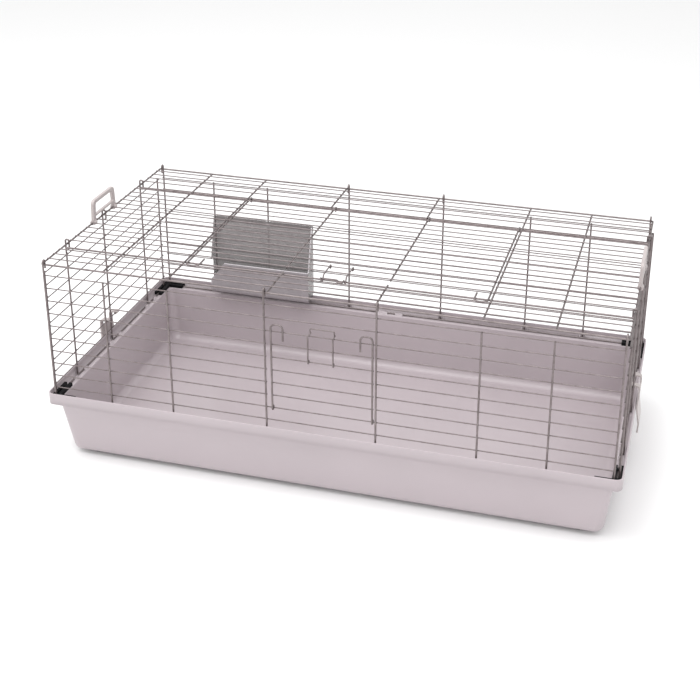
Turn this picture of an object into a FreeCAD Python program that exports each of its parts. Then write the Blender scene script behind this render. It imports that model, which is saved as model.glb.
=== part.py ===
"""Rabbit hutch: a welded wire cage on a moulded tray, as a parametric FreeCAD document.

X runs along the hutch, Y from the front panel (-Y) to the rear panel (+Y), Z up.
The origin is at the centre of the footprint, on the surface the feet stand on.
"""
import FreeCAD, Part
import math
import os
import Sketcher

os.makedirs("parts", exist_ok=True)
doc = FreeCAD.newDocument("RabbitHutch")
vec = FreeCAD.Vector

# ---------------------------------------------------------------- driving dimensions
DIMENSIONS = [
    # cage: sizes are between the centre lines of its wires
    ("cage_length", 1150, "between the side border wires"),
    ("cage_depth", 570, "between the front and rear border wires"),
    ("border_level", 444, "height of the border wire of the top panel"),
    ("thick_wire", 3.8, "diameter of the frame wires"),
    ("thin_wire", 2.4, "diameter of the grille wires"),
    ("latch_wire", 3, "diameter of the latch wires"),
    ("post_offset", 3.9, "frame wires of the walls stand this far outside the border"),
    ("first_drop", 23, "border down to the first grille wire of a wall"),
    ("level_step", 28, "between grille wires of a wall"),
    ("level_count", 10, "grille wires in a wall"),
    ("rail_level", 141, "height of the bottom rails on the ledge of the tray rim"),
    ("post_inset", 5, "corner posts of the long walls from the side border"),
    ("side_inset", 14, "end wires of the side walls from the long borders"),
    ("outer_bar", 443.5, "outermost full-height wires from the middle"),
    ("inner_bar", 309.5, "next wires from the middle"),
    ("gate_bar", 111, "wires beside the front door from the middle"),
    ("stub_bar", 106, "short wires at the front of the top panel"),
    ("rear_stub", 108.2, "short wires at the rear of the top panel from their middle line"),
    ("rear_stub_shift", 7, "that middle line left of the middle of the hutch"),
    ("side_middle", -11.875, "middle hooked wire of the side walls"),
    ("roof_step", 23.75, "between grille wires of the top panel"),
    ("hook_rise", 11, "top of a wall hook above the border centre"),
    ("hook_leg", 9, "inner leg of a wall hook below the border centre"),
    ("eye_drop", 14, "bottom of a side wall eye below the border centre"),
    # doors
    ("play", 0.25, "gap between a curled wire and the wire it turns on"),
    ("latch_play", 0.35, "gap between a latch ring and the wire it turns on"),
    ("lid_side", 303, "side wires of the top door from the middle"),
    ("lid_stiffener", 106, "inner wires of the top door from the middle"),
    ("gate_left", 98, "left side wire of the front door from the middle"),
    ("gate_right", 104, "right side wire of the front door from the middle"),
    # tray
    ("rim_offset", 12, "outer face of the rim outside the cage centre line"),
    ("rim_level", 157, "top of the rim"),
    ("rim_height", 24.5, "height of the rim band"),
    ("rim_corner", 14, "radius of the rim's corners"),
    ("ledge_out", 9, "outer edge of the rim's ledge outside the cage centre line"),
    ("ledge_in", 10.5, "inner edge of the ledge inside the cage centre line"),
    ("ledge_depth", 18, "ledge below the top of the rim"),
    ("tub_in", 4, "outside of the tub under the rim, inside the cage centre line"),
    ("tub_corner", 12, "radius of the tub's corners under the rim"),
    ("draft_long", 28, "how much shorter the tub is at its bottom"),
    ("draft_deep", 30, "how much less deep the tub is at its bottom"),
    ("bottom_corner", 22, "radius of the tub's corners at its bottom"),
    ("bottom_bend", 16, "rounding between the walls and the bottom, outside"),
    ("floor_bend", 17, "rounding between the walls and the floor, inside"),
    ("wall", 2.6, "thickness of the tray's floor"),
    ("foot_rise", 8, "height of the rubber feet"),
    ("foot_radius", 13, "radius of the rubber feet"),
    ("foot_long", 508, "feet from the middle along the hutch"),
    ("foot_deep", 234, "feet from the middle across the hutch"),
    # plastic fittings
    ("handle_span", 94.96, "between the two feet of a handle"),
    ("handle_rise", 49, "top of the grip above the border centre"),
    ("handle_thick", 7, "thickness of a handle"),
    ("finger_gap", 45, "between the middles of a side clip's two fingers"),
    ("finger_width", 12, "width of a side clip's finger"),
    ("rack_left", -441, "left side of the hay rack"),
    ("rack_width", 244, "width of the hay rack"),
    ("rack_depth", 41, "from the front to the back of the hay rack"),
    ("rack_skin", 2.4, "wall thickness of the hay rack"),
]
sheet = doc.addObject("Spreadsheet::Sheet", "Dims")
for row, (alias, value, meaning) in enumerate(DIMENSIONS, start=1):
    sheet.set(f"A{row}", meaning)
    sheet.set(f"B{row}", str(value))
    sheet.setAlias(f"B{row}", alias)
doc.recompute()


def dim(alias):
    """Value of one named cell, in millimetres."""
    return float(getattr(sheet, alias))


THICK = dim("thick_wire") / 2
THIN = dim("thin_wire") / 2
HALF_LONG = dim("cage_length") / 2
HALF_DEEP = dim("cage_depth") / 2
BORDER = dim("border_level")
POST = dim("post_offset")
PLAY = dim("play")
GRILLE = POST - THICK - THIN              # grille wires outside the border centre
LEVELS = range(1, int(dim("level_count")) + 1)


def level(number):
    """Height of a wall's grille wire, counted down from the border."""
    return BORDER - dim("first_drop") - (number - 1) * dim("level_step")


def level_text(number):
    """The same height as an expression on the sheet."""
    return f"Dims.border_level - Dims.first_drop - {number - 1} * Dims.level_step"


# ---------------------------------------------------------------- wires
TURNS = {
    "x": FreeCAD.Rotation(vec(0, 1, 0), 90),
    "y": FreeCAD.Rotation(vec(1, 0, 0), -90),
    "z": FreeCAD.Rotation(),
}


def rod(label, along, diameter, start, length):
    """A straight wire from start, three expressions, running along one axis."""
    wire = doc.addObject("Part::Cylinder", label)
    wire.Placement = FreeCAD.Placement(vec(), TURNS[along])
    wire.setExpression("Radius", f"Dims.{diameter} / 2")
    wire.setExpression("Height", str(length))
    for letter, place in zip("xyz", start):
        wire.setExpression(f"Placement.Base.{letter}", str(place))
    return wire


def tube_along(points, bend, radius):
    """A round wire along straight runs joined by tangent arcs of radius bend."""
    solids = []
    last = points[0]
    for before, corner, after in zip(points, points[1:], points[2:]):
        back = (before - corner).normalize()
        onward = (after - corner).normalize()
        half = back.getAngle(onward) / 2
        start = corner + back * (bend / math.tan(half))
        middle = (back + onward).normalize()
        centre = corner + middle * (bend / math.sin(half))
        run = start - last
        if run.dot(back) > 1e-6:
            raise ValueError(f"a run before {corner} is shorter than its bend")
        if run.Length > 1e-6:
            solids.append(Part.makeCylinder(radius, run.Length, last, run))
        section = Part.Face(Part.Wire(Part.makeCircle(radius, start, back)))
        axis = onward.cross(back)
        solids.append(section.revolve(centre, axis, math.degrees(math.pi - 2 * half)))
        last = corner + onward * (bend / math.tan(half))
    run = points[-1] - last
    if len(points) > 2 and run.dot(onward) < 0:
        raise ValueError(f"the last run to {points[-1]} is shorter than its bend")
    solids.append(Part.makeCylinder(radius, run.Length, last, run))
    return solids[0].multiFuse(solids[1:]) if len(solids) > 1 else solids[0]


def bent(label, points, bend, radius):
    """A bent wire as one object of the document."""
    wire = doc.addObject("Part::Feature", label)
    wire.Shape = tube_along([vec(*point) for point in points], bend, radius)
    return wire


def node(name, pieces):
    """A sub-part made of several wires."""
    group = doc.addObject("Part::Compound", name)
    group.Label = name
    group.Links = pieces
    nodes.append(group)
    return group


nodes = []

# ---------------------------------------------------------------- front and rear walls
# cell of each wire's distance from the middle, and whether it hooks over the border
LONG_BARS = {"outer_bar": False, "inner_bar": False, "gate_bar": True}


def hook_over(label, x, side):
    """The top of a wall wire: up past the border, over it and down inside."""
    outside = side * (HALF_DEEP + POST)
    inside = side * (HALF_DEEP - POST)
    top = BORDER + dim("hook_rise") - THICK
    low = BORDER - dim("hook_leg")
    return bent(label, [(x, outside, low), (x, outside, top), (x, inside, top),
                        (x, inside, low)], POST - 0.05, THICK)


def long_wall(name, side):
    """Frame wires of the front (side -1) or rear (side 1) wall."""
    y_text = f"{side} * (Dims.cage_depth / 2 + Dims.post_offset)"
    foot = "Dims.rail_level - 1"
    to_first = "Dims.border_level - Dims.first_drop + Dims.thin_wire / 2 - Dims.rail_level + 1"
    to_hook = "Dims.border_level - Dims.hook_leg - Dims.rail_level + 1"
    pieces = [rod(f"{name}_rail", "x", "thick_wire",
                  ("Dims.post_inset - Dims.cage_length / 2 - Dims.thick_wire / 2",
                   f"{side} * Dims.cage_depth / 2", "Dims.rail_level"),
                  "Dims.cage_length - 2 * Dims.post_inset + Dims.thick_wire")]
    for hand, word in ((-1, "left"), (1, "right")):
        pieces.append(rod(f"{name}_post_{word}", "z", "thick_wire",
                          (f"{hand} * (Dims.cage_length / 2 - Dims.post_inset)", y_text, foot),
                          to_hook))
        pieces.append(hook_over(f"{name}_post_hook_{word}",
                                hand * (HALF_LONG - dim("post_inset")), side))
        for alias, hooked in LONG_BARS.items():
            pieces.append(rod(f"{name}_{alias}_{word}", "z", "thick_wire",
                              (f"{hand} * Dims.{alias}", y_text, foot),
                              to_hook if hooked else to_first))
            if hooked:
                pieces.append(hook_over(f"{name}_{alias}_hook_{word}", hand * dim(alias), side))
    return node(name, pieces)


GATE_LEVELS = (4, 8)                      # grille wires cut out for the front door


def long_grille(name, side, gate):
    """Grille wires of the front or rear wall; the gate levels stop at its two bars."""
    y_text = f"{side} * (Dims.cage_depth / 2 + Dims.post_offset - Dims.thick_wire / 2" \
             " - Dims.thin_wire / 2)"
    left = "Dims.post_inset - Dims.cage_length / 2 - Dims.thick_wire / 2"
    whole = "Dims.cage_length - 2 * Dims.post_inset + Dims.thick_wire"
    part = "Dims.cage_length / 2 - Dims.post_inset - Dims.gate_bar + Dims.thick_wire"
    pieces = []
    for number in LEVELS:
        if gate and GATE_LEVELS[0] <= number <= GATE_LEVELS[1]:
            pieces.append(rod(f"{name}_{number}_left", "x", "thin_wire",
                              (left, y_text, level_text(number)), part))
            pieces.append(rod(f"{name}_{number}_right", "x", "thin_wire",
                              ("Dims.gate_bar - Dims.thick_wire / 2", y_text,
                               level_text(number)), part))
        else:
            pieces.append(rod(f"{name}_{number}", "x", "thin_wire",
                              (left, y_text, level_text(number)), whole))
    return node(name, pieces)


long_wall("front_frame", -1)
long_grille("front_grille", -1, True)
long_wall("rear_frame", 1)
long_grille("rear_grille", 1, False)

# ---------------------------------------------------------------- side walls
def side_bar_places():
    """Y of the three hooked wires of a side wall, each half a roof step from its neighbours."""
    step = dim("roof_step")
    return [dim("side_middle") + count * step for count in (-7, 0, 8)]


def border_eye(label, side, y):
    """The top of a side wall wire: a long closed loop round the border."""
    outside = side * (HALF_LONG + POST)
    inside = side * (HALF_LONG - POST)
    top = BORDER + dim("hook_rise") - THICK
    low = BORDER - dim("eye_drop") + THICK
    tail = side * (HALF_LONG + POST - 2 * THICK)
    return bent(label, [(outside, y, low), (outside, y, top), (inside, y, top),
                        (inside, y, low), (tail, y, low)], POST - 0.05, THICK)


def side_wall(name, side):
    """Frame wires of the left (side -1) or right (side 1) wall."""
    x_text = f"{side} * (Dims.cage_length / 2 + Dims.post_offset)"
    foot = "Dims.rail_level - 1"
    pieces = [rod(f"{name}_rail", "y", "thick_wire",
                  (f"{side} * Dims.cage_length / 2", "4 - Dims.cage_depth / 2",
                   "Dims.rail_level"), "Dims.cage_depth - 8")]
    for hand, word in ((-1, "front"), (1, "rear")):
        pieces.append(rod(f"{name}_end_{word}", "z", "thick_wire",
                          (x_text, f"{hand} * (Dims.cage_depth / 2 - Dims.side_inset)", foot),
                          "Dims.border_level - Dims.first_drop + Dims.thin_wire / 2"
                          " - Dims.rail_level + 1"))
    for number, y in enumerate(side_bar_places(), start=1):
        pieces.append(rod(f"{name}_bar_{number}", "z", "thick_wire", (x_text, y, foot),
                          "Dims.border_level - Dims.eye_drop + Dims.thick_wire / 2"
                          " - Dims.rail_level + 1"))
        pieces.append(border_eye(f"{name}_eye_{number}", side, y))
    return node(name, pieces)


def side_grille(name, side):
    """Grille wires of a side wall, one on each level."""
    x_text = f"{side} * (Dims.cage_length / 2 + Dims.post_offset - Dims.thick_wire / 2" \
             " - Dims.thin_wire / 2)"
    pieces = [rod(f"{name}_{number}", "y", "thin_wire",
                  (x_text, "Dims.side_inset - Dims.cage_depth / 2 - Dims.thick_wire / 2",
                   level_text(number)),
                  "Dims.cage_depth - 2 * Dims.side_inset + Dims.thick_wire")
              for number in LEVELS]
    return node(name, pieces)


side_wall("left_frame", -1)
side_grille("left_grille", -1)
side_wall("right_frame", 1)
side_grille("right_grille", 1)

# ---------------------------------------------------------------- top panel
CORNER = 4                                # bend of the border wire at its corners
CATCH_WIRE = 4                            # roof wires counted from the front border
HINGE_WIRE = 19
LAST_WIRE = 24


def roof_y(number):
    """Y of a roof wire, counted from the front border."""
    return number * dim("roof_step") - HALF_DEEP


def roof_y_text(number):
    """The same place as an expression on the sheet."""
    return f"{number} * Dims.roof_step - Dims.cage_depth / 2"


UNDER = "Dims.border_level - Dims.thick_wire"            # frame wires under the border level
ON_TOP = "Dims.border_level + Dims.thick_wire / 2 + Dims.thin_wire / 2"


def roof_frame():
    """Border with rounded corners, its cross wires and the two wires under them."""
    pieces = []
    for side, word in ((-1, "front"), (1, "rear")):
        pieces.append(rod(f"border_{word}", "x", "thick_wire",
                          (f"{CORNER} - Dims.cage_length / 2", f"{side} * Dims.cage_depth / 2",
                           "Dims.border_level"), f"Dims.cage_length - {2 * CORNER}"))
    for side, word in ((-1, "left"), (1, "right")):
        pieces.append(rod(f"border_{word}", "y", "thick_wire",
                          (f"{side} * Dims.cage_length / 2", f"{CORNER} - Dims.cage_depth / 2",
                           "Dims.border_level"), f"Dims.cage_depth - {2 * CORNER}"))
        for end, name in ((-1, "front"), (1, "rear")):
            x = side * (HALF_LONG - CORNER)
            y = end * (HALF_DEEP - CORNER)
            start = vec(x, end * HALF_DEEP, BORDER)
            section = Part.Face(Part.Wire(Part.makeCircle(THICK, start, vec(1, 0, 0))))
            corner = doc.addObject("Part::Feature", f"border_{name}_{word}")
            corner.Shape = section.revolve(vec(x, y, BORDER), vec(0, 0, -side * end), 90)
            pieces.append(corner)
        for alias in ("outer_bar", "inner_bar"):
            pieces.append(rod(f"roof_{alias}_{word}", "y", "thick_wire",
                              (f"{side} * Dims.{alias}",
                               "Dims.thick_wire / 2 - Dims.cage_depth / 2",
                               "Dims.border_level"), "Dims.cage_depth - Dims.thick_wire"))
        pieces.append(rod(f"roof_stub_{word}", "y", "thick_wire",
                          (f"{side} * Dims.stub_bar",
                           "Dims.thick_wire / 2 - Dims.cage_depth / 2", "Dims.border_level"),
                          f"{CATCH_WIRE} * Dims.roof_step"))
        pieces.append(rod(f"roof_rear_stub_{word}", "y", "thick_wire",
                          (f"{side} * Dims.rear_stub - Dims.rear_stub_shift",
                           f"{roof_y_text(HINGE_WIRE)} - Dims.thick_wire / 2",
                           "Dims.border_level"),
                          f"Dims.cage_depth - {HINGE_WIRE} * Dims.roof_step"))
    for number, word in ((CATCH_WIRE, "catch"), (HINGE_WIRE, "hinge")):
        pieces.append(rod(f"roof_{word}_wire", "x", "thick_wire",
                          ("Dims.thick_wire / 2 - Dims.cage_length / 2", roof_y_text(number),
                           UNDER), "Dims.cage_length - Dims.thick_wire"))
    return node("top_frame", pieces)


def roof_grille():
    """Thin wires over the cross wires; those beside the door stop at its opening."""
    pieces = []
    part = "Dims.cage_length / 2 - Dims.inner_bar + Dims.thick_wire / 2"
    for number in range(1, LAST_WIRE):
        name = f"roof_{number}"
        if number in (CATCH_WIRE, HINGE_WIRE):
            continue
        if CATCH_WIRE < number < HINGE_WIRE:
            pieces.append(rod(f"{name}_left", "x", "thin_wire",
                              ("-Dims.cage_length / 2", roof_y_text(number), ON_TOP), part))
            pieces.append(rod(f"{name}_right", "x", "thin_wire",
                              ("Dims.inner_bar - Dims.thick_wire / 2", roof_y_text(number),
                               ON_TOP), part))
        else:
            pieces.append(rod(name, "x", "thin_wire",
                              ("-Dims.cage_length / 2", roof_y_text(number), ON_TOP),
                              "Dims.cage_length"))
    return node("top_grille", pieces)


roof_frame()
roof_grille()

# ---------------------------------------------------------------- top door
LID_TURN = dim("thick_wire") + PLAY       # centre of the hinge wire to that of its curl
LID_AXIS = BORDER - dim("thick_wire")
LID_LEVEL = LID_AXIS + LID_TURN
LID_LEVEL_TEXT = "Dims.border_level + Dims.play"
HINGE_Y = roof_y(HINGE_WIRE)
CATCH_Y = roof_y(CATCH_WIRE)
LID_FRONT = CATCH_Y - 8                   # side wires run straight to here
LID_GRILLE = LID_LEVEL + THICK + THIN


def lid_curl(label, x):
    """A door wire wrapped three quarters round the hinge wire."""
    turn = LID_TURN
    return bent(label, [(x, HINGE_Y - turn, LID_LEVEL), (x, HINGE_Y + turn, LID_LEVEL),
                        (x, HINGE_Y + turn, LID_AXIS - turn),
                        (x, HINGE_Y - turn, LID_AXIS - turn),
                        (x, HINGE_Y - turn, LID_AXIS)], turn - 0.05, THICK)


def lid_hook(label, side):
    """The front end of a side wire, turned in and back over the catch wire."""
    x = side * dim("lid_side")
    tip = side * (dim("lid_side") - 26)
    front = CATCH_Y - 19
    return bent(label, [(x, LID_FRONT, LID_LEVEL), (x, front, LID_LEVEL),
                        (tip, front, LID_LEVEL), (tip, CATCH_Y + 16, LID_LEVEL)], 10.5, THICK)


def lid_frame():
    """Side wires with their hooks, two stiffeners, and a curl on each."""
    back = f"{roof_y_text(HINGE_WIRE)} - Dims.thick_wire - Dims.play"
    pieces = []
    for side, word in ((-1, "left"), (1, "right")):
        pieces.append(rod(f"lid_side_{word}", "y", "thick_wire",
                          (f"{side} * Dims.lid_side", LID_FRONT, LID_LEVEL_TEXT),
                          f"{back} - ({LID_FRONT})"))
        pieces.append(lid_curl(f"lid_side_curl_{word}", side * dim("lid_side")))
        pieces.append(lid_hook(f"lid_hook_{word}", side))
        start = f"{roof_y_text(CATCH_WIRE + 1)} - Dims.thin_wire / 2"
        pieces.append(rod(f"lid_stiffener_{word}", "y", "thick_wire",
                          (f"{side} * Dims.lid_stiffener", start, LID_LEVEL_TEXT),
                          f"{back} - ({start})"))
        pieces.append(lid_curl(f"lid_stiffener_curl_{word}", side * dim("lid_stiffener")))
    return node("top_door_frame", pieces)


def lid_grille():
    """Grille wires of the top door, in line with those of the roof."""
    pieces = [rod(f"lid_{number}", "x", "thin_wire",
                  ("-Dims.lid_side - Dims.thick_wire / 2", roof_y_text(number),
                   f"{LID_LEVEL_TEXT} + Dims.thick_wire / 2 + Dims.thin_wire / 2"),
                  "2 * Dims.lid_side + Dims.thick_wire")
              for number in range(CATCH_WIRE + 1, HINGE_WIRE)]
    return node("top_door_grille", pieces)


LATCH = dim("latch_wire") / 2
LATCH_TURN = THIN + LATCH + dim("latch_play")          # centre of a grille wire to that of a latch ring


def lid_latch():
    """Two legs ringed round a door wire, dipping in front of the catch wire."""
    pivot_y = roof_y(CATCH_WIRE + 2)
    back = pivot_y + LATCH_TURN
    front = pivot_y - LATCH_TURN
    low = LID_GRILLE - LATCH_TURN
    high = LID_GRILLE + LATCH_TURN
    tab = high + 0.8
    dip_y = CATCH_Y - 5.8
    dip = LID_AXIS - 1.6
    rise_y = CATCH_Y - 15.5
    end_y = CATCH_Y - 29
    bar_y = CATCH_Y - 17

    def ring(x):
        return [(x, front, LID_GRILLE), (x, front, low), (x, back, low), (x, back, high)]

    def dipped(x):
        return [(x, CATCH_Y + 2, high), (x, dip_y, dip), (x, rise_y, tab)]

    bend = LATCH_TURN - 0.05
    pieces = []
    for name, x in (("left", -23), ("right", 23)):
        straight = CATCH_Y + 12
        pieces.append(bent(f"lid_latch_ring_{name}", ring(x) + [(x, front - 4, high)],
                           bend, LATCH))
        pieces.append(bent(f"lid_latch_leg_{name}", [(x, front - 4, high), (x, straight, high)],
                           bend, LATCH))
        pieces.append(bent(f"lid_latch_dip_{name}",
                           [(x, straight, high)] + dipped(x) + [(x, rise_y - 3, tab)],
                           bend, LATCH))
    pieces.append(bent("lid_latch_tip_left",
                       [(-23, rise_y - 3, tab), (-23, rise_y - 6, tab), (-18, end_y, tab)],
                       6, LATCH))
    pieces.append(bent("lid_latch_tip_right",
                       [(23, rise_y - 3, tab), (23, end_y, tab), (12, end_y, tab),
                        (12, bar_y, tab), (-23 + 2 * LATCH, bar_y, tab)], 4.5, LATCH))
    return node("top_latch", pieces)


lid_frame()
lid_grille()
lid_latch()

# ---------------------------------------------------------------- front door
GATE_HINGE = 9                            # the door turns on this grille wire
GATE_TURN = THIN + THICK + PLAY
GATE_AXIS_Y = -(HALF_DEEP + GRILLE)
GATE_AXIS = level(GATE_HINGE)
GATE_Y = GATE_AXIS_Y - GATE_TURN
GATE_Y_TEXT = "-(Dims.cage_depth / 2 + Dims.post_offset + Dims.play)"
GATE_GRILLE_Y = GATE_Y + THICK + THIN


def gate_side(word, side, x, alias):
    """A side wire: curled round its hinge wire below, bent over as a hook above."""
    turn = GATE_TURN
    base = GATE_AXIS + turn
    shoulder = level(3) + 2
    peak = level(3) + 18 - THICK
    tip = x - side * 24
    curl = bent(f"gate_curl_{word}",
                [(x, GATE_Y, base), (x, GATE_Y, GATE_AXIS - turn),
                 (x, GATE_AXIS_Y + turn, GATE_AXIS - turn),
                 (x, GATE_AXIS_Y + turn, GATE_AXIS + turn),
                 (x, GATE_AXIS_Y + 0.6, GATE_AXIS + turn)], turn - 0.65, THICK)
    straight = rod(f"gate_side_{word}", "z", "thick_wire",
                   (f"{side} * Dims.{alias}", GATE_Y_TEXT, base), shoulder - base)
    hook = bent(f"gate_hook_{word}",
                [(x, GATE_Y, shoulder), (x, GATE_Y, peak), (tip, GATE_Y, peak),
                 (tip, GATE_Y, level(3) - 17)], 9, THICK)
    return [curl, straight, hook]


def gate_frame():
    """Both side wires of the front door."""
    pieces = gate_side("left", -1, -dim("gate_left"), "gate_left")
    pieces += gate_side("right", 1, dim("gate_right"), "gate_right")
    return node("front_door_frame", pieces)


def gate_grille():
    """Grille wires of the front door, on the levels cut out of the front wall."""
    pieces = [rod(f"gate_{number}", "x", "thin_wire",
                  ("-Dims.gate_left - Dims.thick_wire / 2",
                   f"{GATE_Y_TEXT} + Dims.thick_wire / 2 + Dims.thin_wire / 2",
                   level_text(number)),
                  "Dims.gate_left + Dims.gate_right + Dims.thick_wire")
              for number in range(GATE_LEVELS[0], GATE_LEVELS[1] + 1)]
    return node("front_door_grille", pieces)


def gate_latch():
    """Two legs ringed round a door wire, with a step over the wire above the door."""
    pivot = level(5)
    front = GATE_GRILLE_Y - LATCH_TURN
    back = GATE_GRILLE_Y + LATCH_TURN
    knee = level(3) + 1
    step = level(3) + 6.5
    top = level(3) + 18
    bend = LATCH_TURN - 0.05
    pieces = []
    for name, x, shift in (("left", -24, 5), ("right", 26, 3)):
        pieces.append(bent(f"gate_latch_ring_{name}",
                           [(x, GATE_GRILLE_Y, pivot + LATCH_TURN),
                            (x, back, pivot + LATCH_TURN), (x, back, pivot - LATCH_TURN),
                            (x, front, pivot - LATCH_TURN), (x, front, pivot + 4)],
                           bend, LATCH))
        pieces.append(bent(f"gate_latch_leg_{name}",
                           [(x, front, pivot + 4), (x, front, knee - 6)], bend, LATCH))
        pieces.append(bent(f"gate_latch_step_{name}",
                           [(x, front, knee - 6), (x, front, knee),
                            (x + shift, front + 4.5, step), (x + shift, front, step + 6),
                            (x + shift, front, step + 8)], 2.5, LATCH))
    pieces.append(bent("gate_latch_loop",
                       [(-19, front, step + 8), (-19, front, top), (29, front, top),
                        (29, front, step + 8)], 3.4, LATCH))
    return node("front_latch", pieces)


gate_frame()
gate_grille()
gate_latch()

# ---------------------------------------------------------------- sketches for moulded parts


def plane_of(body, role):
    """One of a body's own origin planes."""
    return next(part for part in body.Origin.OriginFeatures if part.Role == role)


def new_sketch(body, name, role, offset):
    """An empty sketch on an origin plane, moved along its normal by an expression."""
    sketch = body.newObject("Sketcher::SketchObject", name)
    sketch.AttachmentSupport = (plane_of(body, role), [""])
    sketch.MapMode = "FlatFace"
    sketch.setExpression("AttachmentOffset.Base.z", str(offset))
    return sketch


def rounded_rectangle(sketch, long, deep, radius):
    """A centred rectangle with round corners, its sizes bound to expressions."""
    first = sketch.GeometryCount
    half_x, half_y, turn = 100, 60, 10
    corners = [(1, -1, -90), (1, 1, 0), (-1, 1, 90), (-1, -1, 180)]
    for (sx, sy, angle), (nx, ny, _) in zip(corners, corners[1:] + corners[:1]):
        centre = vec(sx * (half_x - turn), sy * (half_y - turn), 0)
        start = math.radians(angle)
        arc = Part.ArcOfCircle(Part.Circle(centre, vec(0, 0, 1), turn), start,
                               start + math.pi / 2)
        next_centre = vec(nx * (half_x - turn), ny * (half_y - turn), 0)
        out = vec(math.cos(start + math.pi / 2), math.sin(start + math.pi / 2), 0) * turn
        sketch.addGeometry(arc, False)
        sketch.addGeometry(Part.LineSegment(centre + out, next_centre + out), False)
    for count in range(4):
        arc = first + 2 * count
        line = arc + 1
        following = first + (2 * count + 2) % 8
        sketch.addConstraint(Sketcher.Constraint("Tangent", arc, 2, line, 1))
        sketch.addConstraint(Sketcher.Constraint("Tangent", line, 2, following, 1))
        if count:
            sketch.addConstraint(Sketcher.Constraint("Equal", first, arc))
        direction = "Horizontal" if count % 2 else "Vertical"
        sketch.addConstraint(Sketcher.Constraint(direction, line))
    sketch.addConstraint(Sketcher.Constraint("Symmetric", first, 3, first + 4, 3, -1, 1))
    wide = sketch.addConstraint(Sketcher.Constraint("DistanceX", first + 4, 3, first, 3, 180))
    tall = sketch.addConstraint(Sketcher.Constraint("DistanceY", first, 3, first + 4, 3, 100))
    bend = sketch.addConstraint(Sketcher.Constraint("Radius", first, turn))
    sketch.setExpression(f"Constraints[{wide}]", f"{long} - 2 * ({radius})")
    sketch.setExpression(f"Constraints[{tall}]", f"{deep} - 2 * ({radius})")
    sketch.setExpression(f"Constraints[{bend}]", radius)


def rounded_runs(corners):
    """Start, middle and end of the arc at each (u, v, radius) corner of a closed outline."""
    arcs = []
    for index, (u, v, radius) in enumerate(corners):
        corner = vec(u, v, 0)
        before = vec(*corners[index - 1][:2], 0)
        after = vec(*corners[(index + 1) % len(corners)][:2], 0)
        back = (before - corner).normalize()
        onward = (after - corner).normalize()
        half = back.getAngle(onward) / 2
        reach = radius / math.tan(half)
        middle = corner + (back + onward).normalize() * (radius / math.sin(half) - radius)
        arcs.append((corner + back * reach, middle, corner + onward * reach, radius))
    return arcs


def draw_outline(sketch, corners):
    """A closed outline in a sketch, each corner rounded by its radius."""
    arcs = rounded_runs(corners)
    for index, (start, middle, end, radius) in enumerate(arcs):
        if radius > 0:
            sketch.addGeometry(Part.Arc(start, middle, end), False)
        sketch.addGeometry(Part.LineSegment(end, arcs[(index + 1) % len(arcs)][0]), False)


def outline_face(corners, place):
    """A face inside the same kind of outline; place turns a plane point into a real one."""
    arcs = rounded_runs(corners)
    edges = []
    for index, (start, middle, end, radius) in enumerate(arcs):
        if radius > 0:
            edges.append(Part.Arc(place(start), place(middle), place(end)).toShape())
        following = arcs[(index + 1) % len(arcs)][0]
        edges.append(Part.LineSegment(place(end), place(following)).toShape())
    return Part.Face(Part.Wire(edges))


def add(body, kind, name, sketch, length, reverse=False):
    """A pad or pocket of a sketch, its depth bound to an expression."""
    feature = body.newObject(f"PartDesign::{kind}", name)
    feature.Profile = sketch
    feature.setExpression("Length", str(length))
    feature.Reversed = reverse
    return feature


def new_body(name):
    """A moulded sub-part."""
    body = doc.addObject("PartDesign::Body", name)
    body.Label = name
    nodes.append(body)
    return body


def round_edges(body, name, chosen, radius):
    """A fillet, its radius bound to an expression, on the edges that the test picks."""
    doc.recompute()
    tip = body.Tip
    names = [f"Edge{count}" for count, edge in enumerate(tip.Shape.Edges, start=1)
             if chosen(edge)]
    fillet = body.newObject("PartDesign::Fillet", name)
    fillet.Base = (tip, names)
    fillet.setExpression("Radius", str(radius))


def at_height(height):
    """Picks edges that lie wholly at one height."""
    def test(edge):
        box = edge.BoundBox
        return abs(box.ZMin - height) < 0.01 and abs(box.ZMax - height) < 0.01
    return test


# ---------------------------------------------------------------- tray
LEDGE = dim("rim_level") - dim("ledge_depth")
FLOOR = dim("foot_rise") + dim("wall")
LUG_LEVEL = LEDGE + 7                     # tops of the lugs that stand inside the rails
RIB_LEVEL = LEDGE + 12                    # tops of the ribs on the skirt
BITE = 0.6                                # how far a rib or lug starts inside the wall


def tub_loft(body, kind, name, low, high):
    """A tapered block, added or taken away, between two (level, long, deep, radius) ends."""
    ends = []
    for word, (place, long, deep, radius) in (("bottom", low), ("top", high)):
        sketch = new_sketch(body, f"{name}_{word}", "XY_Plane", place)
        rounded_rectangle(sketch, long, deep, radius)
        ends.append(sketch)
    loft = body.newObject(f"PartDesign::{kind}", name)
    loft.Profile = ends[0]
    loft.Sections = [ends[1]]
    loft.Ruled = True


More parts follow.
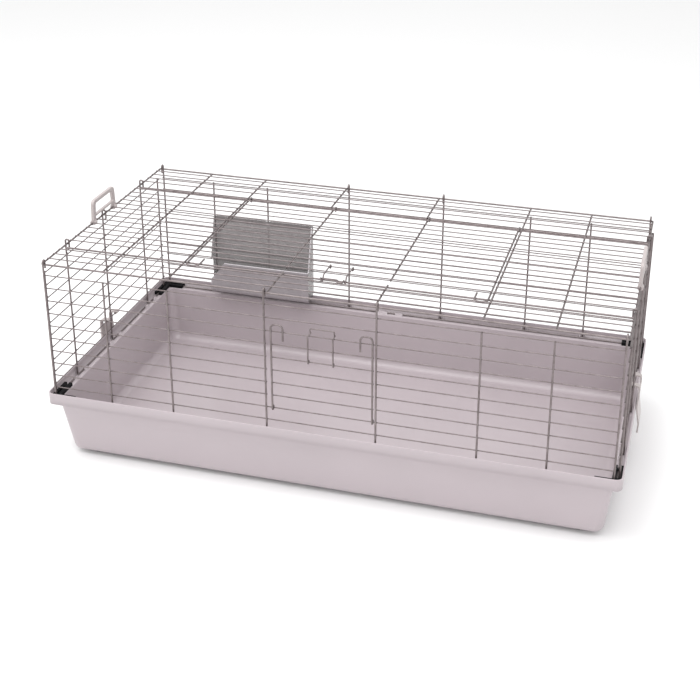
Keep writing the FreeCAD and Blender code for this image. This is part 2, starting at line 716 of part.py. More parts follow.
def tray():
    """A tapered tub whose rim is a ledge for the bottom rails with a skirt round it."""
    body = new_body("tray")
    under_rim = "Dims.rim_level - Dims.rim_height"
    tub_long = "Dims.cage_length - 2 * Dims.tub_in"
    tub_deep = "Dims.cage_depth - 2 * Dims.tub_in"
    tub_loft(body, "AdditiveLoft", "tub",
             ("Dims.foot_rise", f"{tub_long} - Dims.draft_long", f"{tub_deep} - Dims.draft_deep",
              "Dims.bottom_corner"),
             (under_rim, tub_long, tub_deep, "Dims.tub_corner"))
    band = new_sketch(body, "rim_outline", "XY_Plane", under_rim)
    rounded_rectangle(band, "Dims.cage_length + 2 * Dims.rim_offset",
                      "Dims.cage_depth + 2 * Dims.rim_offset", "Dims.rim_corner")
    add(body, "Pad", "rim_band", band, "Dims.rim_height")
    tub_loft(body, "SubtractiveLoft", "tub_hollow",
             ("Dims.foot_rise + Dims.wall", f"{tub_long} - Dims.draft_long - 2 * Dims.wall",
              f"{tub_deep} - Dims.draft_deep - 2 * Dims.wall",
              "Dims.bottom_corner - Dims.wall / 2"),
             ("Dims.rim_level - Dims.ledge_depth", "Dims.cage_length - 2 * Dims.ledge_in",
              "Dims.cage_depth - 2 * Dims.ledge_in", "Dims.tub_corner"))
    round_edges(body, "floor_round", at_height(FLOOR), "Dims.floor_bend")
    round_edges(body, "bottom_round", at_height(dim("foot_rise")), "Dims.bottom_bend")
    ledge = new_sketch(body, "ledge_outline", "XY_Plane", "Dims.rim_level")
    rounded_rectangle(ledge, "Dims.cage_length + 2 * Dims.ledge_out",
                      "Dims.cage_depth + 2 * Dims.ledge_out",
                      "Dims.rim_corner - Dims.rim_offset + Dims.ledge_out")
    add(body, "Pocket", "ledge", ledge, "Dims.ledge_depth")
    round_edges(body, "ledge_round", inner_ledge_edge, "1.6")
    for name, places, top in (("ribs", rib_places(), RIB_LEVEL), ("lugs", lug_places(), LUG_LEVEL)):
        outlines = new_sketch(body, f"{name}_outlines", "XY_Plane", LEDGE - BITE)
        for x, y, wide, deep in places:
            draw_outline(outlines, [(x - wide / 2, y - deep / 2, 0), (x + wide / 2, y - deep / 2, 0),
                                    (x + wide / 2, y + deep / 2, 0), (x - wide / 2, y + deep / 2, 0)])
        add(body, "Pad", name, outlines, top - LEDGE + BITE)
    round_edges(body, "rim_round", at_height(dim("rim_level")), "1.2")
    return body


def rib_places():
    """Centre and size of the ribs in pairs on the skirt, either side of each upright wire."""
    spread, wide, deep = 6.5, 2.2, 2.4 + BITE
    x_skirt = HALF_LONG + dim("ledge_out") + BITE - deep / 2
    y_skirt = HALF_DEEP + dim("ledge_out") + BITE - deep / 2
    places = []
    for side in (-1, 1):
        for shift in (-spread, spread):
            for alias in LONG_BARS:
                places.append((dim(alias) + shift, side * y_skirt, wide, deep))
                places.append((-dim(alias) + shift, side * y_skirt, wide, deep))
            for y in side_bar_places():
                places.append((side * x_skirt, y + shift, deep, wide))
    return places


def lug_places():
    """Centre and size of the lugs that stand on the ledge just inside the rails."""
    deep = 5
    inside = THICK + 0.8 + deep / 2
    places = []
    for side in (-1, 1):
        y = side * (HALF_DEEP - inside)
        places += [(-26.5, y, 23, deep), (13.5, y, 17, deep)]
        for bar in side_bar_places():
            places += [(side * (HALF_LONG - inside), bar + shift, deep, 11)
                       for shift in (-22, 22)]
    return places


def inner_ledge_edge(edge):
    """Picks the edge where the ledge meets the inside of the tub."""
    box = edge.BoundBox
    return at_height(LEDGE)(edge) and max(abs(box.XMin), abs(box.XMax)) < HALF_LONG \
        and max(abs(box.YMin), abs(box.YMax)) < HALF_DEEP


def feet():
    """Four rubber discs under the tray."""
    discs = []
    for count, (sx, sy) in enumerate(((-1, -1), (1, -1), (1, 1), (-1, 1)), start=1):
        disc = doc.addObject("Part::Cylinder", f"foot_{count}")
        disc.setExpression("Radius", "Dims.foot_radius")
        disc.setExpression("Height", "Dims.foot_rise")
        disc.setExpression("Placement.Base.x", f"{sx} * Dims.foot_long")
        disc.setExpression("Placement.Base.y", f"{sy} * Dims.foot_deep")
        discs.append(disc)
    return node("feet", discs)


tray()
feet()

# ---------------------------------------------------------------- corner clips
CLIP_LOW = LEDGE + 0.6
CLIP_TOP = 146.5
BRIDGE_LOW = dim("rail_level") + THICK + 0.8
CLIP_ARM_LONG = 42                        # from the corner along the hutch
CLIP_ARM_DEEP = 58                        # from the corner across the hutch
BRIDGE_WIDE = 7
SLOT = THICK + 0.8                        # half the open slot over a rail


def box_solid(low, high):
    """A plain block between two corners given in any order."""
    low, high = ([min(pair) for pair in zip(low, high)], [max(pair) for pair in zip(low, high)])
    size = [top - bottom for bottom, top in zip(low, high)]
    return Part.makeBox(*size, vec(*low))


def ring_solid(outer, inner, radius, low, high):
    """A band that follows the cage outline between two offsets from its centre line."""
    solids = []
    for offset, turn in ((outer, radius), (inner, max(radius - outer + inner, 1))):
        block = box_solid((-HALF_LONG - offset, -HALF_DEEP - offset, low),
                          (HALF_LONG + offset, HALF_DEEP + offset, high))
        uprights = [edge for edge in block.Edges if edge.BoundBox.ZLength > 1]
        solids.append(block.makeFillet(turn, uprights))
    return solids[0].cut(solids[1])


def corner_clip(name, sx, sy):
    """Two black rails either side of the bottom wires, bridged over them, with forked ends."""
    out = dim("ledge_out") - 0.6
    inward = 1.2 - dim("ledge_in")
    outer = ring_solid(out, SLOT, dim("rim_corner") - dim("rim_offset") + out, CLIP_LOW, CLIP_TOP)
    inner = ring_solid(-SLOT, inward, 2, CLIP_LOW, CLIP_TOP)
    reach = dim("ledge_out")
    arm_x = box_solid((sx * (HALF_LONG - CLIP_ARM_LONG), sy * (HALF_DEEP - 2 * reach), 0),
                      (sx * (HALF_LONG + reach), sy * (HALF_DEEP + reach), BORDER))
    arm_y = box_solid((sx * (HALF_LONG - 2 * reach), sy * (HALF_DEEP - CLIP_ARM_DEEP), 0),
                      (sx * (HALF_LONG + reach), sy * (HALF_DEEP + reach), BORDER))
    clip_shape = outer.fuse(inner).common(arm_x.fuse(arm_y))
    near = inward + 1
    far = out - 1
    for from_corner in (34, -2):
        clip_shape = clip_shape.fuse(box_solid(
            (sx * (HALF_LONG - from_corner - BRIDGE_WIDE), sy * (HALF_DEEP + near), BRIDGE_LOW),
            (sx * (HALF_LONG - from_corner), sy * (HALF_DEEP + far - 3), CLIP_TOP)))
    for from_corner in (42, 5):
        clip_shape = clip_shape.fuse(box_solid(
            (sx * (HALF_LONG + near), sy * (HALF_DEEP - from_corner - BRIDGE_WIDE), BRIDGE_LOW),
            (sx * (HALF_LONG + far), sy * (HALF_DEEP - from_corner), CLIP_TOP)))
    posts = [(HALF_LONG - dim("post_inset"), HALF_DEEP + POST),
             (HALF_LONG + POST, HALF_DEEP - dim("side_inset"))]
    for x, y in posts:
        clip_shape = clip_shape.cut(Part.makeCylinder(THICK + 0.5, BORDER, vec(sx * x, sy * y, 0)))
    clip = doc.addObject("Part::Feature", name)
    clip.Shape = clip_shape.removeSplitter()
    clip.Label = name
    nodes.append(clip)


for sx, sy, name in ((-1, -1, "front_left"), (1, -1, "front_right"),
                     (1, 1, "rear_right"), (-1, 1, "rear_left")):
    corner_clip(f"corner_clip_{name}", sx, sy)

# ---------------------------------------------------------------- handles
FOOT_OUTER = 6
FOOT_BORE = THICK + 0.3
FOOT_WIDE = 11
CLIP_SLOT = 3


def handle(name, side):
    """A moulded bail that clips round the side border wire on two split feet."""
    body = new_body(name)
    x_axis = side * HALF_LONG
    middle = dim("side_middle")
    reach = dim("handle_span") / 2
    edge = reach + FOOT_WIDE / 2
    inner = reach - FOOT_WIDE / 2
    top = BORDER + dim("handle_rise")
    bar_low, bar_high, grip_low = BORDER + 12.6, BORDER + 16.6, BORDER + 40
    plate = new_sketch(body, f"{name}_outline", "YZ_Plane", x_axis - dim("handle_thick") / 2)
    draw_outline(plate, [
        (middle - edge, BORDER, 0), (middle - inner, BORDER, 0),
        (middle - inner, bar_low, 2), (middle + inner, bar_low, 2),
        (middle + inner, BORDER, 0), (middle + edge, BORDER, 0),
        (middle + edge - 4, top, 11), (middle - edge + 4, top, 11)])
    draw_outline(plate, [
        (middle - inner + 1, bar_high, 3), (middle + inner - 1, bar_high, 3),
        (middle + inner - 4, grip_low, 5), (middle - inner + 4, grip_low, 5)])
    add(body, "Pad", f"{name}_plate", plate, "Dims.handle_thick")
    round_edges(body, f"{name}_soft", lambda line: line.BoundBox.ZMin > BORDER + 17 and
                line.BoundBox.ZMax > BORDER + 24 and line.BoundBox.XLength < 0.01, 1.6)
    for count, place in enumerate((middle - reach, middle + reach), start=1):
        offset = -(place + FOOT_WIDE / 2)
        foot = new_sketch(body, f"{name}_foot_{count}", "XZ_Plane", offset)
        foot.addGeometry(Part.Circle(vec(x_axis, BORDER, 0), vec(0, 0, 1), FOOT_OUTER), False)
        add(body, "Pad", f"{name}_boss_{count}", foot, FOOT_WIDE)
    for count, place in enumerate((middle - reach, middle + reach), start=1):
        offset = -(place + FOOT_WIDE / 2 + 1)
        bore = new_sketch(body, f"{name}_bore_{count}", "XZ_Plane", offset)
        half = math.asin(CLIP_SLOT / 2 / FOOT_BORE)
        flat = FOOT_BORE * math.cos(half)
        left = vec(x_axis - CLIP_SLOT / 2, BORDER - flat, 0)
        right = vec(x_axis + CLIP_SLOT / 2, BORDER - flat, 0)
        low = vec(0, -FOOT_OUTER - 2 + flat, 0)
        bore.addGeometry(Part.Arc(right, vec(x_axis, BORDER + FOOT_BORE, 0), left), False)
        bore.addGeometry(Part.LineSegment(left, left + low), False)
        bore.addGeometry(Part.LineSegment(left + low, right + low), False)
        bore.addGeometry(Part.LineSegment(right + low, right), False)
        add(body, "Pocket", f"{name}_slot_{count}", bore, FOOT_WIDE + 2, True)


handle("left_handle", -1)
handle("right_handle", 1)

# ---------------------------------------------------------------- side tray clips
SIDE_CLIP_LEVEL = 9                       # the clips hang on this grille wire
RING_OUTER = 4.2
RING_BORE = THIN + 0.3
CLIP_LENGTH = 114                         # from the wire to the tip of the paddle


def side_clip(name, side, middle):
    """A moulded paddle with an S-shaped edge view, hung on two fingers curled over a wire."""
    wire_x = HALF_LONG + GRILLE
    wire_z = level(SIDE_CLIP_LEVEL)
    rim = HALF_LONG + dim("rim_offset")
    tip = wire_z - CLIP_LENGTH
    profile = [(wire_x, wire_z + 3.9, 0), (rim + 5.8, wire_z + 1.5, 7),
               (rim + 5.8, wire_z - 19, 40), (rim + 4, wire_z - 47, 25),
               (rim + 10.4, wire_z - 87, 35), (rim + 9, tip, 1.4), (rim + 5.9, tip, 1.4),
               (rim + 7.2, wire_z - 87, 32), (rim + 0.8, wire_z - 47, 28),
               (rim + 2.6, wire_z - 19, 37), (rim + 2.4, wire_z - 1.6, 4),
               (wire_x + 2.2, wire_z + 1, 0)]
    strap = outline_face(profile, lambda spot: vec(side * spot.x, middle - 60, spot.y))
    strap = strap.extrude(vec(0, 120, 0))
    gap = dim("finger_gap") / 2
    inner = gap - dim("finger_width") / 2
    outer = gap + dim("finger_width") / 2
    outline = [(-outer, wire_z + 8, 0), (-inner, wire_z + 8, 0), (-inner, wire_z - 17, 5),
               (inner, wire_z - 17, 5), (inner, wire_z + 8, 0), (outer, wire_z + 8, 0),
               (outer, wire_z - 30, 12), (outer + 3, wire_z - 72, 30), (20, tip - 3, 18),
               (-20, tip - 3, 18), (-outer - 3, wire_z - 72, 30), (-outer, wire_z - 30, 12)]
    face = outline_face(outline, lambda spot: vec(side * (HALF_LONG - 20), middle + spot.x, spot.y))
    solid = strap.common(face.extrude(vec(side * 60, 0, 0)))
    for centre in (-gap, gap):
        solid = solid.fuse(Part.makeCylinder(
            RING_OUTER, dim("finger_width"),
            vec(side * wire_x, middle + centre - dim("finger_width") / 2, wire_z), vec(0, 1, 0)))
    bore = Part.makeCylinder(RING_BORE, 120, vec(side * wire_x, middle - 60, wire_z), vec(0, 1, 0))
    mouth = box_solid((side * (wire_x - 9), middle - 60, wire_z - 6),
                      (side * (wire_x - 0.4), middle + 60, wire_z - 0.9))
    clip = doc.addObject("Part::Feature", name)
    clip.Shape = solid.cut(bore).cut(mouth).removeSplitter().Solids[0]
    clip.Label = name
    nodes.append(clip)


side_clip("left_clip", -1, -10.5)
side_clip("right_clip", 1, 20)

# ---------------------------------------------------------------- hay rack
RACK_WIRE = level(4)                      # the rear grille wire that the rack hooks over
RACK_BACK = HALF_DEEP + GRILLE - THIN - 1.5
RACK_FRONT = RACK_BACK - dim("rack_depth")
RACK_BOTTOM = 157
RACK_LIP = 239
RACK_CROWN = RACK_WIRE + THIN + 0.4       # underside of the hooks over the wire
RACK_HOOKS = ((3, 122), (138, 103))       # start and length of each hook from the left side


def hay_rack():
    """A pocket with a tall back that hooks over a grille wire of the rear wall."""
    body = new_body("hay_rack")
    skin = dim("rack_skin")
    top = RACK_CROWN + skin
    outer = new_sketch(body, "rack_outline", "YZ_Plane", "Dims.rack_left")
    draw_outline(outer, [(RACK_BACK, top, 0), (RACK_BACK, RACK_BOTTOM + 16, 3),
                         (RACK_BACK - 16, RACK_BOTTOM, 10), (RACK_FRONT, RACK_BOTTOM, 12),
                         (RACK_FRONT, RACK_LIP, 1), (RACK_FRONT + 4, RACK_LIP, 2),
                         (RACK_BACK - 9, top, 4)])
    add(body, "Pad", "rack_block", outer, "Dims.rack_width")
    inner = new_sketch(body, "rack_hollow_outline", "YZ_Plane",
                       "Dims.rack_left + Dims.rack_skin")
    draw_outline(inner, [(RACK_BACK - skin, top + 9, 0), (RACK_BACK - skin, RACK_BOTTOM + 17, 2),
                         (RACK_BACK - 17, RACK_BOTTOM + skin, 8),
                         (RACK_FRONT + skin, RACK_BOTTOM + skin, 9.6),
                         (RACK_FRONT + skin, top + 9, 0)])
    add(body, "Pocket", "rack_hollow", inner, "Dims.rack_width - 2 * Dims.rack_skin", True)
    lip = new_sketch(body, "rack_lip_outline", "YZ_Plane", "Dims.rack_left")
    draw_outline(lip, [(RACK_FRONT + skin, RACK_LIP - 6, 0), (RACK_FRONT + skin, RACK_LIP, 1),
                       (RACK_FRONT - 3.4, RACK_LIP, 1), (RACK_FRONT - 3.4, RACK_LIP - 6, 1)])
    add(body, "Pad", "rack_lip", lip, "Dims.rack_width")
    behind = HALF_DEEP + GRILLE + THIN + 0.4
    for count, (start, length) in enumerate(RACK_HOOKS, start=1):
        hook = new_sketch(body, f"rack_hook_outline_{count}", "YZ_Plane",
                          f"Dims.rack_left + {start}")
        draw_outline(hook, [(RACK_BACK - skin, top - 14, 0), (RACK_BACK, top - 14, 0),
                            (RACK_BACK, RACK_CROWN, 0), (behind, RACK_CROWN, 0),
                            (behind, RACK_CROWN - 12, 0), (behind + skin, RACK_CROWN - 12, 0.8),
                            (behind + skin, top, 2), (RACK_BACK - skin, top, 0)])
        add(body, "Pad", f"rack_hook_{count}", hook, length)
    corner = new_sketch(body, "rack_corner_outline", "XZ_Plane", -(RACK_FRONT + 18))
    left = dim("rack_left")
    draw_outline(corner, [(left - 5, RACK_LIP - 46, 0), (left + skin, RACK_LIP - 46, 4),
                          (left + 40, RACK_LIP + 5, 0), (left - 5, RACK_LIP + 5, 0)])
    add(body, "Pocket", "rack_corner", corner, 30, True)


hay_rack()

# ---------------------------------------------------------------- check and write
doc.recompute()
failed = [item.Name for item in doc.Objects if "Invalid" in item.State or "Error" in item.State]
if failed:
    raise RuntimeError(f"objects that failed: {failed}")
for item in nodes:
    if item.Shape.isNull() or not item.Shape.isValid():
        raise RuntimeError(f"bad shape: {item.Label}")
for item in nodes:
    item.Shape.exportStep(f"parts/{item.Label}.step")
    box = item.Shape.BoundBox
    print(f"{item.Label:24} solids {len(item.Shape.Solids):3} volume {item.Shape.Volume:12.1f}"
          f"  x {box.XMin:7.1f} {box.XMax:7.1f}  y {box.YMin:7.1f} {box.YMax:7.1f}"
          f"  z {box.ZMin:6.1f} {box.ZMax:6.1f}")
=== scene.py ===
import math

import bmesh
import bpy
from mathutils import Matrix, Vector


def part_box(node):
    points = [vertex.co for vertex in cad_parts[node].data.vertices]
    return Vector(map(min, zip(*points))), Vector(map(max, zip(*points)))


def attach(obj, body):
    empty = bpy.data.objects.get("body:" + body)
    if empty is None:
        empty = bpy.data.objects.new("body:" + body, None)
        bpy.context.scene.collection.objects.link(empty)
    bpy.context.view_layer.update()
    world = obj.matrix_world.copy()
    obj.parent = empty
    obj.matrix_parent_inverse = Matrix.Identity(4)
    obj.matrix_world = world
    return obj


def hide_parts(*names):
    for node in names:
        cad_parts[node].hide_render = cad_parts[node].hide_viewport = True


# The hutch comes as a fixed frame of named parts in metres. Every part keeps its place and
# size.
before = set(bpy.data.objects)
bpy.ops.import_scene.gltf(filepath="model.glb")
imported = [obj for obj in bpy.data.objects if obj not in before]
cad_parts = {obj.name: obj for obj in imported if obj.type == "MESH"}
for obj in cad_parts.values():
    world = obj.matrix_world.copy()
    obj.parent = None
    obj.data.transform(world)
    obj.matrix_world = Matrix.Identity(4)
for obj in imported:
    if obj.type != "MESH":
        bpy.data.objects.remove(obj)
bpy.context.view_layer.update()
MM = 0.001


# ---------------------------------------------------------------- studio
# The hutch stands on a wide pale sheet under soft studio lamps: a large lamp overhead and in
# front, a second one at the left, and a white room that fills the shadows.
def soft_lamp(name, place, aim, size, watts):
    bpy.ops.object.light_add(type="AREA", location=place)
    lamp = bpy.context.object
    lamp.name = name
    lamp.data.shape = "RECTANGLE"
    lamp.data.size = size[0]
    lamp.data.size_y = size[1]
    lamp.data.energy = watts
    lamp.rotation_euler = (Vector(aim) - Vector(place)).to_track_quat("-Z", "Y").to_euler()
    return lamp


soft_lamp("overhead_lamp", (-0.3, -0.6, 2.9), (0, 0, 0.2), (3.4, 2.4), 76)
soft_lamp("front_lamp", (1.2, -3.0, 1.6), (0, 0, 0.15), (2.2, 1.6), 12)
soft_lamp("left_lamp", (-2.8, -0.9, 1.4), (0, 0, 0.2), (1.8, 1.8), 10)

room = bpy.data.worlds.new("white_room")
bpy.context.scene.world = room
room.use_nodes = True
room.node_tree.nodes["Background"].inputs["Color"].default_value = (1, 1, 1, 1)
room.node_tree.nodes["Background"].inputs["Strength"].default_value = 1.0

bpy.ops.mesh.primitive_plane_add(size=14, location=(0, 0, 0))
table = bpy.context.object
table.name = "pale_table"
paper = bpy.data.materials.new("white_paper")
paper.use_nodes = True
paper_shader = paper.node_tree.nodes["Principled BSDF"]
paper_shader.inputs["Base Color"].default_value = (0.86, 0.86, 0.86, 1)
paper_shader.inputs["Roughness"].default_value = 0.8
table.data.materials.append(paper)

bpy.ops.object.camera_add(location=(0.6594, -2.3453, 1.4996))
camera = bpy.context.object
camera.name = "camera"
camera.rotation_euler = (math.radians(66.91), math.radians(-0.77), math.radians(14.62))
camera.data.lens = 66
camera.data.shift_x = -0.058
camera.data.shift_y = -0.165
camera.data.sensor_width = 36
bpy.context.scene.camera = camera
bpy.context.scene.view_settings.view_transform = "Standard"


# ---------------------------------------------------------------- tray
# One deep tub of warm light grey polypropylene, pressed out of a polished steel mould: a soft
# sheen outside, fine grain, and a rim whose ledge the wire cage stands on.
def clear_selection():
    bpy.ops.object.select_all(action="DESELECT")


def merged_copy(node, smooth_under):
    """A copy of a part's mesh, its triangles welded and its round faces shaded smooth."""
    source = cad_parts[node]
    piece = bpy.data.objects.new(f"{node}_finished", source.data.copy())
    bpy.context.scene.collection.objects.link(piece)
    piece.data.materials.clear()
    clear_selection()
    piece.select_set(True)
    bpy.context.view_layer.objects.active = piece
    bpy.ops.object.mode_set(mode="EDIT")
    bpy.ops.mesh.select_all(action="SELECT")
    bpy.ops.mesh.remove_doubles(threshold=0.002 * MM)
    bpy.ops.object.mode_set(mode="OBJECT")
    bpy.ops.object.shade_smooth_by_angle(angle=math.radians(smooth_under))
    bpy.ops.object.modifier_add(type="WEIGHTED_NORMAL")
    piece.modifiers[-1].keep_sharp = True
    bpy.ops.object.modifier_apply(modifier=piece.modifiers[-1].name)
    return piece


def put_on(piece, body, node, material):
    piece.data.materials.append(material)
    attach(piece, body)
    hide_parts(node)


# moulded plastic: cloudy tone, handling marks and the fine grain of the mould
grain = bpy.data.node_groups.new("moulded_grain", "ShaderNodeTree")
for socket, kind, value in (("Colour", "NodeSocketColor", (0.5, 0.5, 0.5, 1)),
                            ("Cloud Size", "NodeSocketFloat", 6),
                            ("Cloud Strength", "NodeSocketFloat", 0.05),
                            ("Grain Size", "NodeSocketFloat", 900),
                            ("Roughness", "NodeSocketFloat", 0.35)):
    made = grain.interface.new_socket(socket, in_out="INPUT", socket_type=kind)
    made.default_value = value
for socket, kind in (("Colour", "NodeSocketColor"), ("Roughness", "NodeSocketFloat"),
                     ("Height", "NodeSocketFloat")):
    grain.interface.new_socket(socket, in_out="OUTPUT", socket_type=kind)
nodes = grain.nodes
links = grain.links
given = nodes.new("NodeGroupInput")
result = nodes.new("NodeGroupOutput")
place = nodes.new("ShaderNodeTexCoord")
cloud = nodes.new("ShaderNodeTexNoise")
cloud.inputs["Detail"].default_value = 4
links.new(place.outputs["Object"], cloud.inputs["Vector"])
links.new(given.outputs["Cloud Size"], cloud.inputs["Scale"])
spread = nodes.new("ShaderNodeMapRange")
spread.inputs["From Min"].default_value = 0.3
spread.inputs["From Max"].default_value = 0.7
spread.inputs["To Min"].default_value = -1
spread.inputs["To Max"].default_value = 1
links.new(cloud.outputs["Fac"], spread.inputs["Value"])
shade = nodes.new("ShaderNodeMath")
shade.operation = "MULTIPLY_ADD"
shade.inputs[2].default_value = 1
links.new(spread.outputs["Result"], shade.inputs[0])
links.new(given.outputs["Cloud Strength"], shade.inputs[1])
tone = nodes.new("ShaderNodeVectorMath")
tone.operation = "SCALE"
links.new(given.outputs["Colour"], tone.inputs[0])
links.new(shade.outputs[0], tone.inputs["Scale"])
links.new(tone.outputs["Vector"], result.inputs["Colour"])
rub = nodes.new("ShaderNodeTexNoise")
rub.inputs["Scale"].default_value = 34
rub.inputs["Detail"].default_value = 6
rub.inputs["Roughness"].default_value = 0.65
links.new(place.outputs["Object"], rub.inputs["Vector"])
dull = nodes.new("ShaderNodeMath")
dull.operation = "MULTIPLY_ADD"
dull.inputs[1].default_value = 0.16
links.new(rub.outputs["Fac"], dull.inputs[0])
links.new(given.outputs["Roughness"], dull.inputs[2])
links.new(dull.outputs[0], result.inputs["Roughness"])
pores = nodes.new("ShaderNodeTexNoise")
pores.inputs["Detail"].default_value = 2
links.new(place.outputs["Object"], pores.inputs["Vector"])
links.new(given.outputs["Grain Size"], pores.inputs["Scale"])
links.new(pores.outputs["Fac"], result.inputs["Height"])


def moulded(name, colour, roughness, cloud_size, cloud_strength, grain_size, bump, coat=0.0):
    """A moulded plastic finish built on the shared grain."""
    material = bpy.data.materials.new(name)
    material.use_nodes = True
    tree = material.node_tree
    shader = tree.nodes["Principled BSDF"]
    skin = tree.nodes.new("ShaderNodeGroup")
    skin.node_tree = grain
    skin.inputs["Colour"].default_value = (*colour, 1)
    skin.inputs["Cloud Size"].default_value = cloud_size
    skin.inputs["Cloud Strength"].default_value = cloud_strength
    skin.inputs["Grain Size"].default_value = grain_size
    skin.inputs["Roughness"].default_value = roughness
    raised = tree.nodes.new("ShaderNodeBump")
    raised.inputs["Strength"].default_value = bump
    raised.inputs["Distance"].default_value = 0.15 * MM
    tree.links.new(skin.outputs["Colour"], shader.inputs["Base Color"])
    tree.links.new(skin.outputs["Roughness"], shader.inputs["Roughness"])
    tree.links.new(skin.outputs["Height"], raised.inputs["Height"])
    tree.links.new(raised.outputs["Normal"], shader.inputs["Normal"])
    shader.inputs["Coat Weight"].default_value = coat
    shader.inputs["Coat Roughness"].default_value = 0.2
    return material


tray_plastic = moulded("tray_polypropylene", (0.425, 0.372, 0.392), 0.3, 5, 0.03, 1400, 0.25,
                       coat=0.15)
tray = merged_copy("tray", 32)
put_on(tray, "tray", "tray", tray_plastic)

# ---------------------------------------------------------------- feet
# Four round pads of dark rubber pressed into the underside of the tray, so that it does not
# slide or scratch the floor.
foot_rubber = moulded("foot_rubber", (0.035, 0.028, 0.026), 0.62, 60, 0.12, 2600, 0.6)
feet = merged_copy("feet", 32)
put_on(feet, "tray", "feet", foot_rubber)

# ---------------------------------------------------------------- wire walls and roof
# Drawn steel wire, welded where it crosses and dipped in zinc: a dull grey metal with faint
# streaks along the wire and darker patches where the coating has weathered.
zinc = bpy.data.materials.new("zinc_wire")
zinc.use_nodes = True
tree = zinc.node_tree
zinc_shader = tree.nodes["Principled BSDF"]
place = tree.nodes.new("ShaderNodeTexCoord")
bloom = tree.nodes.new("ShaderNodeTexNoise")
bloom.inputs["Scale"].default_value = 60
bloom.inputs["Detail"].default_value = 6
bloom.inputs["Roughness"].default_value = 0.7
tree.links.new(place.outputs["Object"], bloom.inputs["Vector"])
zinc_tones = tree.nodes.new("ShaderNodeValToRGB")
zinc_tones.color_ramp.elements[0].position = 0.32
zinc_tones.color_ramp.elements[0].color = (0.15, 0.125, 0.125, 1)
zinc_tones.color_ramp.elements[1].position = 0.7
zinc_tones.color_ramp.elements[1].color = (0.27, 0.235, 0.235, 1)
tree.links.new(bloom.outputs["Fac"], zinc_tones.inputs["Fac"])
tree.links.new(zinc_tones.outputs["Color"], zinc_shader.inputs["Base Color"])
zinc_dull = tree.nodes.new("ShaderNodeMapRange")
zinc_dull.inputs["To Min"].default_value = 0.28
zinc_dull.inputs["To Max"].default_value = 0.52
tree.links.new(bloom.outputs["Fac"], zinc_dull.inputs["Value"])
tree.links.new(zinc_dull.outputs["Result"], zinc_shader.inputs["Roughness"])
pitting = tree.nodes.new("ShaderNodeTexNoise")
pitting.inputs["Scale"].default_value = 1500
pitting_bump = tree.nodes.new("ShaderNodeBump")
pitting_bump.inputs["Strength"].default_value = 0.2
pitting_bump.inputs["Distance"].default_value = 0.1 * MM
tree.links.new(place.outputs["Object"], pitting.inputs["Vector"])
tree.links.new(pitting.outputs["Fac"], pitting_bump.inputs["Height"])
tree.links.new(pitting_bump.outputs["Normal"], zinc_shader.inputs["Normal"])
zinc_shader.inputs["Metallic"].default_value = 0.85

WIRE_NODES = {
    "cage": ["front_frame", "front_grille", "rear_frame", "rear_grille", "left_frame",
             "left_grille", "right_frame", "right_grille", "top_frame", "top_grille"],
    "top_door": ["top_door_frame", "top_door_grille"],
    "top_latch": ["top_latch"],
    "front_door": ["front_door_frame", "front_door_grille"],
    "front_latch": ["front_latch"],
}
for body, names in WIRE_NODES.items():
    for name in names:
        put_on(merged_copy(name, 40), body, name, zinc)

# ---------------------------------------------------------------- weld nuggets
# Wherever two wires cross they are spot-welded: the metal squeezes out into a small flattened
# bead between them, a little darker than the wire and coated with the same zinc.
BEAD_RADIUS = 2.3 * MM
BEAD_HALF_HEIGHT = 1.25 * MM
SHORTEST_RUN = 15 * MM            # shorter edges belong to bends and hooks
SAME_WIRE = 5 * MM                # edges whose ends are this near are on one wire
WIDEST_CROSSING = 6 * MM
TOUCH = 0.4 * MM
bpy.ops.mesh.primitive_uv_sphere_add(segments=8, ring_count=5, radius=1)
bead = bpy.context.object
bpy.ops.object.mode_set(mode="EDIT")
bpy.ops.mesh.select_all(action="SELECT")
bpy.ops.transform.resize(value=(BEAD_RADIUS, BEAD_RADIUS, BEAD_HALF_HEIGHT))
bpy.ops.object.mode_set(mode="OBJECT")
bpy.ops.object.shade_smooth()

weld_zinc = zinc.copy()
weld_zinc.name = "weld_zinc"
weld_tones = weld_zinc.node_tree.nodes["Color Ramp"].color_ramp
weld_tones.elements[0].color = (0.09, 0.075, 0.075, 1)
weld_tones.elements[1].color = (0.2, 0.175, 0.175, 1)


def wire_boxes(node):
    """Lowest and highest corner of each straight wire in a node, whose wires are loose meshes."""
    mesh = bmesh.new()
    mesh.from_mesh(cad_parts[node].data)
    bmesh.ops.remove_doubles(mesh, verts=mesh.verts, dist=0.002 * MM)
    long_edges = [edge for edge in mesh.edges if edge.calc_length() > SHORTEST_RUN]
    wires = []
    for edge in long_edges:
        low, high = [Vector(map(pick, *(corner.co for corner in edge.verts))) for pick in (min, max)]
        if sorted(high - low)[1] > 0.1 * MM:
            continue
        for wire in wires:
            if max((wire[0] - low).length, (wire[1] - high).length) < SAME_WIRE:
                wire[0] = Vector(map(min, wire[0], low))
                wire[1] = Vector(map(max, wire[1], high))
                break
        else:
            wires.append([low, high])
    mesh.free()
    return wires


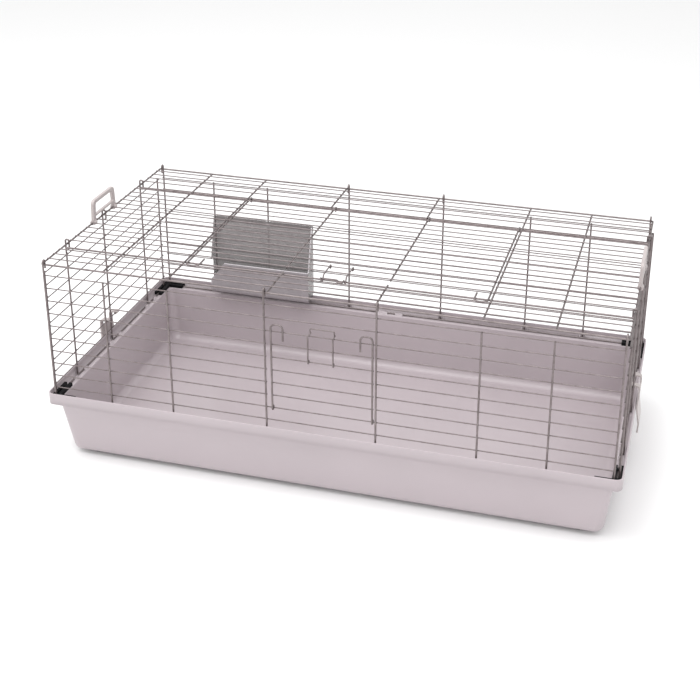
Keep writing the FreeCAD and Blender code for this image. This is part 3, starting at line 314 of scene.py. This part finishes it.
def welds(name, first, second, body):
    """One bead at each place where a wire of the first piece touches one of the second."""
    beads = []
    crossing = wire_boxes(second)
    for low, high in wire_boxes(first):
        for low_too, high_too in crossing:
            start = Vector([max(pair) for pair in zip(low, low_too)])
            end = Vector([min(pair) for pair in zip(high, high_too)])
            reach = end - start
            apart = min(reach) < -TOUCH
            same_wire = (low - low_too).length < MM
            if apart or same_wire or max(reach) > WIDEST_CROSSING:
                continue
            copy = bead.data.copy()
            thin_axis = list(reach).index(min(reach))
            turn = Vector((0, 0, 1)).rotation_difference(Vector([axis == thin_axis
                                                                 for axis in range(3)]))
            copy.transform(Matrix.Translation((start + end) / 2) @ turn.to_matrix().to_4x4())
            beads.append(bpy.data.objects.new(name, copy))
            bpy.context.scene.collection.objects.link(beads[-1])
    clear_selection()
    for piece in beads:
        piece.select_set(True)
    bpy.context.view_layer.objects.active = beads[0]
    bpy.ops.object.join()
    joined = bpy.context.object
    joined.data.materials.append(weld_zinc)
    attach(joined, body)


for panel, body in (("front", "cage"), ("rear", "cage"), ("left", "cage"), ("right", "cage"),
                    ("top", "cage"), ("top_door", "top_door"), ("front_door", "front_door")):
    welds(f"{panel}_welds", f"{panel}_frame", f"{panel}_grille", body)
bpy.data.objects.remove(bead)

# ---------------------------------------------------------------- corner clips
# Black moulded clips that lie on the ledge of the rim, over the bottom rails, and tie the
# wall panels together at each corner.
clip_black = moulded("clip_black", (0.006, 0.006, 0.007), 0.5, 40, 0.2, 2200, 0.5)
clip_black.node_tree.nodes["Principled BSDF"].inputs["Specular IOR Level"].default_value = 0.1
for corner in ("front_left", "front_right", "rear_right", "rear_left"):
    node = f"corner_clip_{corner}"
    put_on(merged_copy(node, 32), "cage", node, clip_black)

# ---------------------------------------------------------------- handles and side clips
# Pale grey-beige fittings moulded in one piece: two bails that snap round the side border
# wires, and two paddles that hang on the side walls and hold the tray.
fitting_plastic = moulded("fitting_plastic", (0.40, 0.355, 0.35), 0.3, 25, 0.04, 1700, 0.3,
                          coat=0.2)
for name in ("left_handle", "right_handle", "left_clip", "right_clip"):
    put_on(merged_copy(name, 32), name, name, fitting_plastic)

# ---------------------------------------------------------------- hay rack
# A pocket of smoke-grey translucent plastic that hooks on the rear wall; the wires behind it
# show through.
smoke = moulded("smoke_plastic", (0.22, 0.20, 0.20), 0.2, 20, 0.05, 1500, 0.15, coat=0.3)
smoke_shader = smoke.node_tree.nodes["Principled BSDF"]
smoke_shader.inputs["Alpha"].default_value = 0.72
rack = merged_copy("hay_rack", 32)
put_on(rack, "hay_rack", "hay_rack", smoke)

# the polished lip over the pocket and the right cheek's edge get a painted highlight: a pale, less
# clear copy of the smoke plastic for the light they catch; the front pane gets painted light: a copy
# paler than the tall back
lip_painted_highlight = moulded("smoke_lip_painted_highlight", (0.70, 0.66, 0.69), 0.12, 20, 0.03, 1500, 0.1, coat=0.4)
pane_painted_light = moulded("smoke_pane_painted_light", (0.36, 0.33, 0.345), 0.2, 20, 0.05, 1500, 0.15, coat=0.3)
for pale in (lip_painted_highlight, pane_painted_light):
    pale.node_tree.nodes["Principled BSDF"].inputs["Alpha"].default_value = 0.88
    rack.data.materials.append(pale)
rack_low, rack_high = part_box("hay_rack")
LIP_BELOW_TOP = 102 * MM
FRONT_DEPTH = 8 * MM
CHEEK = 2.5 * MM
LIP_HIGHLIGHT, PANE_LIT = 1, 2                  # the order in which the painted-highlight and painted-light copies were added
lip_level = rack_high[2] - LIP_BELOW_TOP
for face in rack.data.polygons:
    in_front = face.center.y < rack_low[1] + FRONT_DEPTH
    on_cheek = face.center.x > rack_high[0] - CHEEK
    # painted highlight: the upward lip faces and the right cheek's front face take the pale lip copy
    if in_front and face.normal.z > 0.5 and face.center.z > lip_level - 2 * MM:
        face.material_index = LIP_HIGHLIGHT
    elif on_cheek and face.normal.y < -0.5:
        face.material_index = LIP_HIGHLIGHT
    # painted light: the front pane below the lip takes the paler pane copy of the smoke plastic
    elif in_front and face.normal.y < -0.5 and face.center.z < lip_level:
        face.material_index = PANE_LIT
